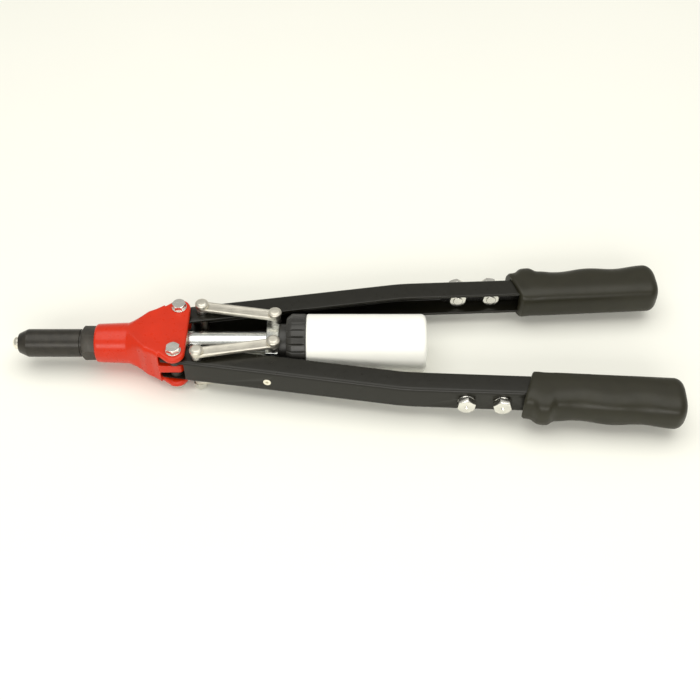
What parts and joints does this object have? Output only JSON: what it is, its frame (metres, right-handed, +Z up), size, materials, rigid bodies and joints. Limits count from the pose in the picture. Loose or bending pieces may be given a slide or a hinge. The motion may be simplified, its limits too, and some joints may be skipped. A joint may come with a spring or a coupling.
{
  "type": "hand riveter",
  "caption": "Long-arm lever hand riveter lying with its handles closed: barrel, red clevis body, links, draw tube, mandrel catcher bottle and channel arms with rubber grips.",
  "frame": {"origin": "centre of the nosepiece's front opening, on the tool's axis", "axes": "+X back along the tool to the handles, +Y to the left handle, +Z up, square to the plane the handles swing in"},
  "size_m": [0.5287, 0.1638, 0.047],
  "materials": {
    "red_enamel": "gloss orange-red enamel",
    "bright_steel": "bright turned steel",
    "blackened_steel": "satin blackened steel",
    "blackened_nut": "satin blackened steel",
    "bronze": "turned bronze",
    "zinc_bolt": "bright zinc plate",
    "bare_steel": "turned steel",
    "zinc_tube": "bright zinc plated tube",
    "link_zinc": "brushed zinc plate with a warm tone",
    "hardened_steel": "hardened, ground",
    "spring_steel": "drawn wire",
    "cap_plastic": "moulded, satin",
    "seal_rubber": "matte",
    "bottle_plastic": "translucent white, satin",
    "black_paint": "gloss black",
    "black_paint_inner": "gloss black",
    "grip_rubber": "moulded, satin",
    "rivet_cream": "cream, satin"
  },
  "bodies": {
    "root": {"body_casting": "red_enamel", "nosepiece": "bright_steel", "barrel": "blackened_steel", "lock_nut": "blackened_nut", "guide_bush": "bronze", "pivot_bolts": "zinc_bolt", "pivot_nuts": "zinc_bolt", "pivot_washers": "zinc_bolt", "pivot_bushes": "bare_steel", "pivot_spacers": "bare_steel"},
    "left_arm": {"left_arm_channel": "black_paint", "left_grip": "grip_rubber", "left_grip_tongue": "black_paint_inner", "left_grip_bolts": "zinc_bolt", "left_grip_nuts": "zinc_bolt", "left_bumper": "seal_rubber", "left_bumper_rivet": "rivet_cream"},
    "right_arm": {"right_arm_channel": "black_paint", "right_grip": "grip_rubber", "right_grip_tongue": "black_paint_inner", "right_grip_bolts": "zinc_bolt", "right_grip_nuts": "zinc_bolt", "right_bumper": "seal_rubber", "right_bumper_rivet": "rivet_cream"},
    "draw_bar": {"draw_tube": "zinc_tube", "crosshead": "zinc_tube", "crosshead_bolts": "link_zinc", "crosshead_nuts": "zinc_bolt", "crosshead_spacers": "bare_steel", "jaw_case": "hardened_steel", "catcher_cap": "cap_plastic"},
    "left_links": {"left_link_upper": "link_zinc", "left_link_lower": "link_zinc", "left_link_bolt": "link_zinc", "left_link_nut": "zinc_bolt", "left_link_spacers": "bare_steel"},
    "right_links": {"right_link_upper": "link_zinc", "right_link_lower": "link_zinc", "right_link_bolt": "link_zinc", "right_link_nut": "zinc_bolt", "right_link_spacers": "bare_steel"},
    "pusher": {"jaw_pusher": "hardened_steel", "jaw_spring": "spring_steel"},
    "jaw_1": {"jaw_1": "hardened_steel"},
    "jaw_2": {"jaw_2": "hardened_steel"},
    "jaw_3": {"jaw_3": "hardened_steel"},
    "bottle_seal": {"bottle_seal": "seal_rubber"},
    "bottle": {"catcher_bottle": "bottle_plastic"}
  },
  "joints": [
    {"name": "left_handle", "type": "hinge", "parent": "root", "child": "left_arm", "pos_m": [0.1334, 0.0233, 0], "axis": [0, 0, 1], "range_deg": [0, 45]},
    {"name": "right_handle", "type": "hinge", "parent": "root", "child": "right_arm", "pos_m": [0.1334, -0.0233, 0], "axis": [0, 0, 1], "range_deg": [-45, 0]},
    {"name": "draw", "type": "slide", "parent": "root", "child": "draw_bar", "axis": [-1, 0, 0], "range_m": [0, 0.009]},
    {"name": "left_link_swing", "type": "hinge", "parent": "draw_bar", "child": "left_links", "pos_m": [0.2113, 0.0149, 0], "axis": [0, 0, 1], "range_deg": [-13, 0]},
    {"name": "right_link_swing", "type": "hinge", "parent": "draw_bar", "child": "right_links", "pos_m": [0.2113, -0.0149, 0], "axis": [0, 0, 1], "range_deg": [0, 13]},
    {"name": "pusher_slide", "type": "slide", "parent": "draw_bar", "child": "pusher", "axis": [1, 0, 0], "range_m": [0, 0.0016], "deforming": ["jaw_spring"]},
    {"name": "jaw_1_slide", "type": "slide", "parent": "draw_bar", "child": "jaw_1", "axis": [0.9781, 0, 0.2079], "range_m": [0, 0.00165]},
    {"name": "jaw_2_slide", "type": "slide", "parent": "draw_bar", "child": "jaw_2", "axis": [0.9781, -0.1801, -0.104], "range_m": [0, 0.00165]},
    {"name": "jaw_3_slide", "type": "slide", "parent": "draw_bar", "child": "jaw_3", "axis": [0.9781, 0.1801, -0.104], "range_m": [0, 0.00165]},
    {"name": "bottle_travel", "type": "slide", "parent": "draw_bar", "child": "bottle_seal", "axis": [1, 0, 0], "range_m": [0, 0.0081]},
    {"name": "bottle_unscrew", "type": "hinge", "parent": "bottle_seal", "child": "bottle", "pos_m": [0.23, 0, 0], "axis": [-1, 0, 0], "range_deg": [0, 720]}
  ],
  "couplings": [
    {"joint": "right_handle", "follows": "left_handle", "ratio": -1},
    {"joint": "draw", "follows": "left_handle", "m_per_rad": 0.011245},
    {"joint": "left_link_swing", "follows": "left_handle", "ratio": -0.27801},
    {"joint": "right_link_swing", "follows": "left_handle", "ratio": 0.27801},
    {"joint": "pusher_slide", "follows": "left_handle", "m_per_rad": 0.001999},
    {"joint": "jaw_1_slide", "follows": "left_handle", "m_per_rad": 0.0020436},
    {"joint": "jaw_2_slide", "follows": "left_handle", "m_per_rad": 0.0020436},
    {"joint": "jaw_3_slide", "follows": "left_handle", "m_per_rad": 0.0020436},
    {"joint": "bottle_travel", "follows": "bottle_unscrew", "m_per_rad": 0.00063662}
  ]
}
